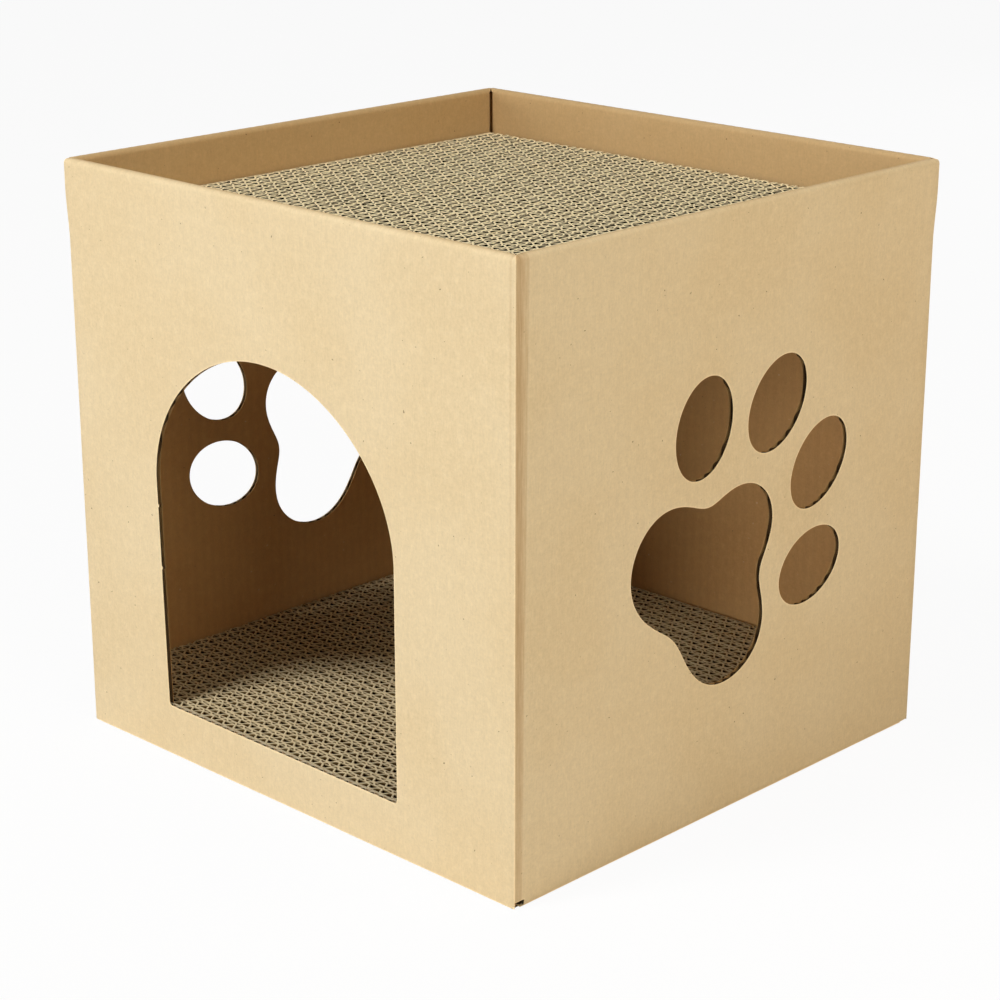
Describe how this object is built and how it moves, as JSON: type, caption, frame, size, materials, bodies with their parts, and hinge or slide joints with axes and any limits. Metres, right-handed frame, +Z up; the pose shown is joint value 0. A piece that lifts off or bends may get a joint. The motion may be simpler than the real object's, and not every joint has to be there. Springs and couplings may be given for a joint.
{
  "type": "cardboard cat house",
  "caption": "Folded cardboard cat house with an arched doorway, paw-shaped side windows, and lift-out corrugated scratchers on its floor and in its top.",
  "frame": {"origin": "middle of the carton's base, at the floor", "axes": "+Z up, -Y out of the doorway, +X to the right of someone who faces the doorway"},
  "size_m": [0.3316, 0.3216, 0.32],
  "materials": {
    "kraft_outside": "matte kraft liner",
    "kraft_inside": "matte kraft liner, shaded",
    "corrugated_strips": "cut flute edges"
  },
  "bodies": {
    "carton": {"front_wall": "kraft_outside", "right_wall": "kraft_outside", "back_wall": "kraft_outside", "left_wall": "kraft_outside", "front_rim_flap": "kraft_inside", "right_rim_flap": "kraft_inside", "back_rim_flap": "kraft_inside", "left_rim_flap": "kraft_inside", "glue_tab": "kraft_inside", "front_bottom_flap": "kraft_outside", "back_bottom_flap": "kraft_outside"},
    "top_scratcher": {"top_scratcher": "corrugated_strips"},
    "floor_scratcher": {"floor_scratcher": "corrugated_strips"},
    "front_shelf_flap": {"front_shelf_flap": "kraft_inside"},
    "right_shelf_flap": {"right_shelf_flap": "kraft_inside"},
    "back_shelf_flap": {"back_shelf_flap": "kraft_inside"},
    "left_shelf_flap": {"left_shelf_flap": "kraft_inside"},
    "left_bottom_flap": {"left_bottom_flap": "kraft_outside"},
    "right_bottom_flap": {"right_bottom_flap": "kraft_outside"}
  },
  "joints": [
    {"name": "top_scratcher_lift", "type": "slide", "parent": "carton", "child": "top_scratcher", "axis": [0, 0, 1], "range_m": [0, 0.1]},
    {"name": "floor_scratcher_lift", "type": "slide", "parent": "carton", "child": "floor_scratcher", "axis": [0, 0, 1], "range_m": [0, 0.155]},
    {"name": "front_shelf_fold", "type": "hinge", "parent": "carton", "child": "front_shelf_flap", "pos_m": [0, -0.1567, 0.2684], "axis": [-1, 0, 0], "range_deg": [0, 90]},
    {"name": "back_shelf_fold", "type": "hinge", "parent": "carton", "child": "back_shelf_flap", "pos_m": [0, 0.1567, 0.2684], "axis": [1, 0, 0], "range_deg": [0, 90]},
    {"name": "right_shelf_fold", "type": "hinge", "parent": "carton", "child": "right_shelf_flap", "pos_m": [0.1617, 0, 0.2684], "axis": [0, -1, 0], "range_deg": [0, 90]},
    {"name": "left_shelf_fold", "type": "hinge", "parent": "carton", "child": "left_shelf_flap", "pos_m": [-0.1617, 0, 0.2684], "axis": [0, 1, 0], "range_deg": [0, 90]},
    {"name": "right_bottom_fold", "type": "hinge", "parent": "carton", "child": "right_bottom_flap", "pos_m": [0.165, 0, 0], "axis": [0, -1, 0], "range_deg": [0, 260]},
    {"name": "left_bottom_fold", "type": "hinge", "parent": "carton", "child": "left_bottom_flap", "pos_m": [-0.165, 0, 0], "axis": [0, 1, 0], "range_deg": [0, 260]}
  ]
}
